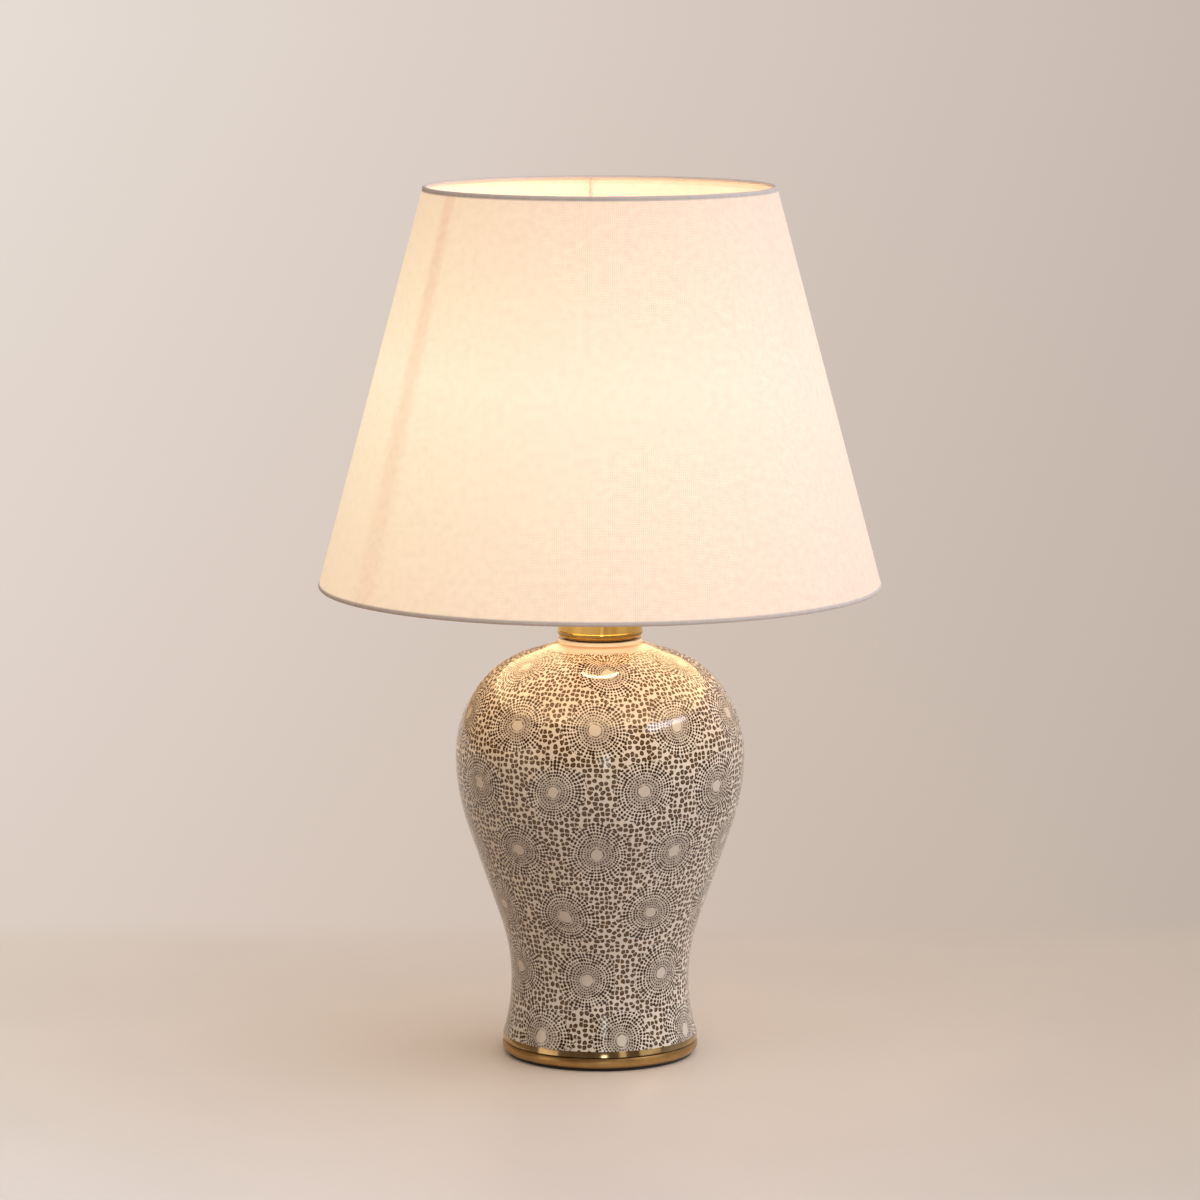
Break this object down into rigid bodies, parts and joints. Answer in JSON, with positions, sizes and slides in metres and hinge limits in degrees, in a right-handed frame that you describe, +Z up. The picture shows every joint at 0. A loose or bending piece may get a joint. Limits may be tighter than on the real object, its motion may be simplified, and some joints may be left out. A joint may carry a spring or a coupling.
{
  "type": "table lamp",
  "caption": "Table lamp with a hollow glazed vase on a brass foot, a brass neck cap, a screw lampholder with a globe bulb, and a tapered fabric shade that turns on the holder.",
  "frame": {"origin": "centre of the felt pad's underside, on the table, on the axis of vase and shade", "axes": "+Z up along the lamp's axis, +X to the lamp's right as the picture shows it, +Y away from the picture's camera, towards the cord inlet"},
  "size_m": [0.3999, 0.4, 0.6216],
  "materials": {
    "felt": "matte",
    "foot_brass": "satin",
    "bush_plastic": "matte",
    "gasket_rubber": "matte",
    "vase_glaze": "gloss",
    "zinc_steel": "satin",
    "cap_brass": "polished",
    "holder_plastic": "gloss",
    "insert_ceramic": "matte",
    "contact_brass": "satin",
    "shade_cloth": "matte",
    "shade_sheet": "matte",
    "frame_paint": "gloss",
    "tip_metal": "satin",
    "tip_insulator": "gloss",
    "screw_shell": "satin",
    "bulb_plastic": "satin",
    "opal_dome": "satin",
    "board_white": "matte"
  },
  "bodies": {
    "stand": {"felt_pad": "felt", "foot": "foot_brass", "cord_bush": "bush_plastic", "foot_gasket": "gasket_rubber", "clamp_washer": "zinc_steel", "lock_washer": "zinc_steel", "bottom_nut": "zinc_steel", "ceramic_body": "vase_glaze", "tie_rod": "zinc_steel", "neck_gasket": "gasket_rubber", "vase_cap": "cap_brass", "top_nut": "cap_brass", "holder_cap": "holder_plastic", "grub_screw": "zinc_steel", "holder_insert": "insert_ceramic", "centre_contact": "contact_brass", "side_contact": "contact_brass", "terminal_screws": "zinc_steel", "holder_skirt": "holder_plastic", "lower_shade_ring": "holder_plastic", "upper_shade_ring": "holder_plastic"},
    "shade": {"shade_fabric": "shade_cloth", "shade_liner": "shade_sheet", "shade_top_ring": "frame_paint", "shade_bottom_ring": "frame_paint", "shade_arm_left": "frame_paint", "shade_arm_right": "frame_paint", "shade_arm_back": "frame_paint", "fitter_ring": "frame_paint"},
    "bulb_foot": {"bulb_contact": "tip_metal", "bulb_insulator": "tip_insulator"},
    "bulb": {"bulb_shell": "screw_shell", "bulb_housing": "bulb_plastic", "bulb_dome": "opal_dome", "led_board": "board_white"}
  },
  "joints": [
    {"name": "shade_turn", "type": "hinge", "parent": "stand", "child": "shade", "pos_m": [0, 0, 0.3611], "axis": [0, 0, 1], "continuous": true},
    {"name": "bulb_rise", "type": "slide", "parent": "stand", "child": "bulb_foot", "axis": [0, 0, 1], "range_m": [0, 0.01452]},
    {"name": "bulb_turn", "type": "hinge", "parent": "bulb_foot", "child": "bulb", "pos_m": [0, 0, 0.3534], "axis": [0, 0, 1], "range_deg": [0, 1440]}
  ],
  "couplings": [
    {"joint": "bulb_rise", "follows": "bulb_turn", "m_per_rad": 0.00057757}
  ]
}
